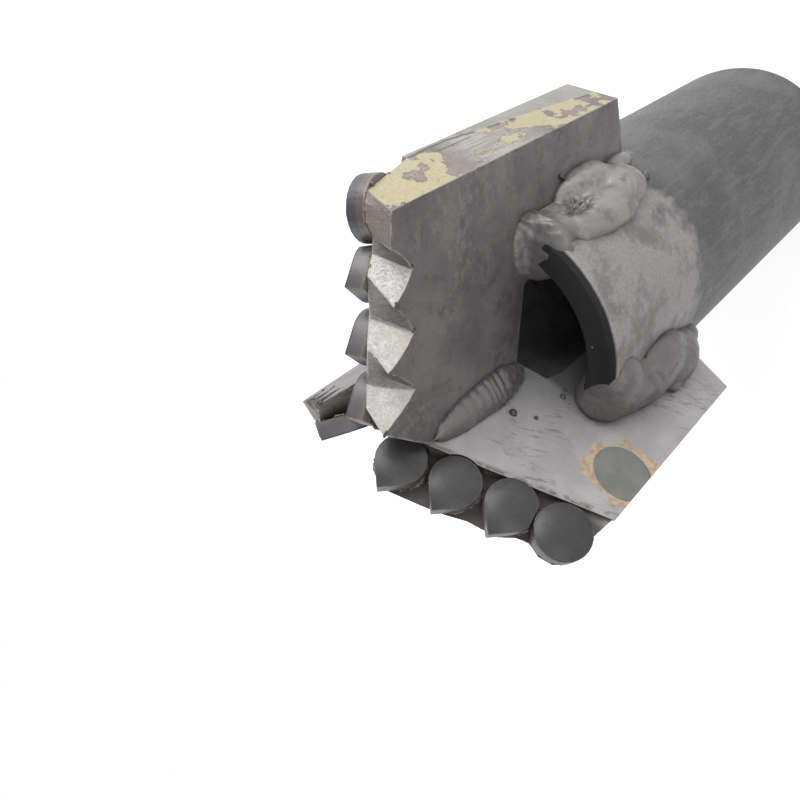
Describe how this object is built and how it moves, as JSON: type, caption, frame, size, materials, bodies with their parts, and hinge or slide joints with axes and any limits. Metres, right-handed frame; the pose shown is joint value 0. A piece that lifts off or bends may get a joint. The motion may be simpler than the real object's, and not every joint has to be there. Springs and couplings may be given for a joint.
{
  "type": "pdc drill bit",
  "caption": "Drag bit for drilling: a hollow round steel shank with welded steel wings that carry brazed diamond compact cutters on a stepped, ground front edge.",
  "frame": {"origin": "centre of the shank's back face, where the rod's socket opens", "axes": "+Z along the bit's axis towards the cutting end, +Y along the first wing"},
  "size_m": [0.0978, 0.0911, 0.2079],
  "materials": {
    "shank_steel": "dull scaled steel",
    "wing_steel": "heat-tinted steel plate, ground bright on its toothed edge",
    "diamond_compact": "dark sintered diamond on carbide",
    "gauge_insert": "matte grey-green carbide",
    "weld_metal": "rippled weld bead",
    "braze_metal": "dull braze"
  },
  "bodies": {
    "root": {"shank": "shank_steel", "wing_1": "wing_steel", "cutter_1_1": "diamond_compact", "cutter_1_2": "diamond_compact", "cutter_1_3": "diamond_compact", "cutter_1_4": "diamond_compact", "gauge_insert_1": "gauge_insert", "weld_leading_1": "weld_metal", "weld_trailing_1": "weld_metal", "weld_centre_1": "weld_metal", "wing_2": "wing_steel", "cutter_2_1": "diamond_compact", "cutter_2_2": "diamond_compact", "cutter_2_3": "diamond_compact", "cutter_2_4": "diamond_compact", "gauge_insert_2": "gauge_insert", "weld_leading_2": "weld_metal", "weld_trailing_2": "weld_metal", "weld_centre_2": "weld_metal", "wing_3": "wing_steel", "cutter_3_1": "diamond_compact", "cutter_3_2": "diamond_compact", "cutter_3_3": "diamond_compact", "cutter_3_4": "diamond_compact", "gauge_insert_3": "gauge_insert", "weld_leading_3": "weld_metal", "weld_trailing_3": "weld_metal", "weld_centre_3": "weld_metal", "centre_braze": "braze_metal"}
  },
  "joints": []
}
